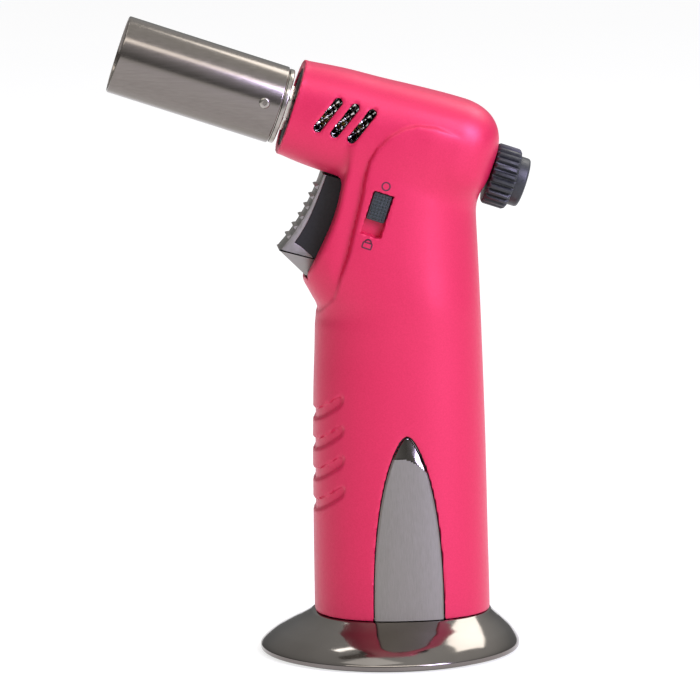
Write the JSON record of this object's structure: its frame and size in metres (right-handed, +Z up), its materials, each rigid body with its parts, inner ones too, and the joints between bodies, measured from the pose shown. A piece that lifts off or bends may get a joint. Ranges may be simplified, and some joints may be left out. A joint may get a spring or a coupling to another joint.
{
  "type": "table-top butane torch",
  "caption": "Upright table-top butane torch: tilted head with burner tube, thumb trigger, lock slider and flame knob on an oval tank handle with a round flared foot.",
  "frame": {"origin": "centre of the round foot, at the underside of its rubber pad", "axes": "+Z up the handle, -X the way the burner points, -Y the side with the lock slider"},
  "size_m": [0.1075, 0.0666, 0.1635],
  "materials": {
    "pink_shell": "satin pearl paint",
    "gunmetal": "polished gunmetal plating",
    "brushed_gunmetal": "brushed along the circumference",
    "satin_nickel": "satin",
    "bright_steel": "polished",
    "steel": "plain",
    "brass": "turned",
    "black_plastic": "moulded, fine grain",
    "charcoal_plastic": "moulded",
    "nylon": "translucent natural nylon",
    "rubber": "matt",
    "ceramic": "glazed ceramic",
    "wire_mesh": "woven wire",
    "red_lead": "silicone insulation",
    "hose": "clear amber hose"
  },
  "bodies": {
    "root": {"base_foot": "gunmetal", "base_pad": "rubber", "base_screws": "steel", "filler_cup": "black_plastic", "filler_valve": "brass", "filler_cap": "brass", "filler_seal": "rubber", "filler_spring": "steel", "floor_plate": "nylon", "fuel_tank": "nylon", "tank_lid": "nylon", "outlet_valve": "brass", "valve_seal": "rubber", "lever_pin": "steel", "chassis": "black_plastic", "piezo_igniter": "charcoal_plastic", "casing_left": "pink_shell", "casing_right": "pink_shell", "case_screws": "steel", "plate_left": "satin_nickel", "plate_right": "satin_nickel", "front_plate": "black_plastic", "vent_mesh_left": "wire_mesh", "vent_mesh_right": "wire_mesh", "regulator": "brass", "gas_hose": "hose", "jet": "brass", "mixing_tube": "brass", "burner_nut": "bright_steel", "burner_ring": "bright_steel", "burner_tube": "brushed_gunmetal", "tube_screw": "bright_steel", "flame_holder": "brass", "burner_nozzle": "steel", "electrode": "steel", "electrode_sleeve": "ceramic", "ignition_wire": "red_lead"},
    "trigger": {"trigger_body": "black_plastic", "trigger_face": "brushed_gunmetal", "piezo_plunger": "nylon"},
    "lever": {"valve_lever": "steel"},
    "valve_lift": {"valve_stem": "steel"},
    "lock_slider": {"lock_button": "charcoal_plastic", "lock_carrier": "black_plastic"},
    "flame_knob": {"knob": "charcoal_plastic", "knob_cap": "charcoal_plastic", "knob_spindle": "brass"},
    "filler": {"filler_stem": "brass"}
  },
  "joints": [
    {"name": "trigger_slide", "type": "slide", "parent": "root", "child": "trigger", "axis": [0.9466, 0, -0.3223], "range_m": [0, 0.0045], "stiffness_N_per_m": 800, "springref_m": -0.002},
    {"name": "lever_turn", "type": "hinge", "parent": "root", "child": "lever", "pos_m": [0.007, 0, 0.0844], "axis": [0, 1, 0], "range_deg": [0, 29]},
    {"name": "valve_lift_slide", "type": "slide", "parent": "root", "child": "valve_lift", "axis": [0, 0, 1], "range_m": [0, 0.0021]},
    {"name": "lock_slide", "type": "slide", "parent": "root", "child": "lock_slider", "axis": [-0.3223, 0, -0.9466], "range_m": [0, 0.0036]},
    {"name": "flame_turn", "type": "hinge", "parent": "root", "child": "flame_knob", "pos_m": [0.0284, 0, 0.12163], "axis": [0.9466, 0, -0.3223], "range_deg": [-135, 135]},
    {"name": "filler_push", "type": "slide", "parent": "root", "child": "filler", "axis": [0, 0, 1], "range_m": [0, 0.0015], "stiffness_N_per_m": 200, "springref_m": -0.002, "deforming": ["filler_spring"]}
  ],
  "couplings": [
    {"joint": "lever_turn", "follows": "trigger_slide", "rad_per_m": 112.48},
    {"joint": "valve_lift_slide", "follows": "trigger_slide", "ratio": 0.4666}
  ]
}
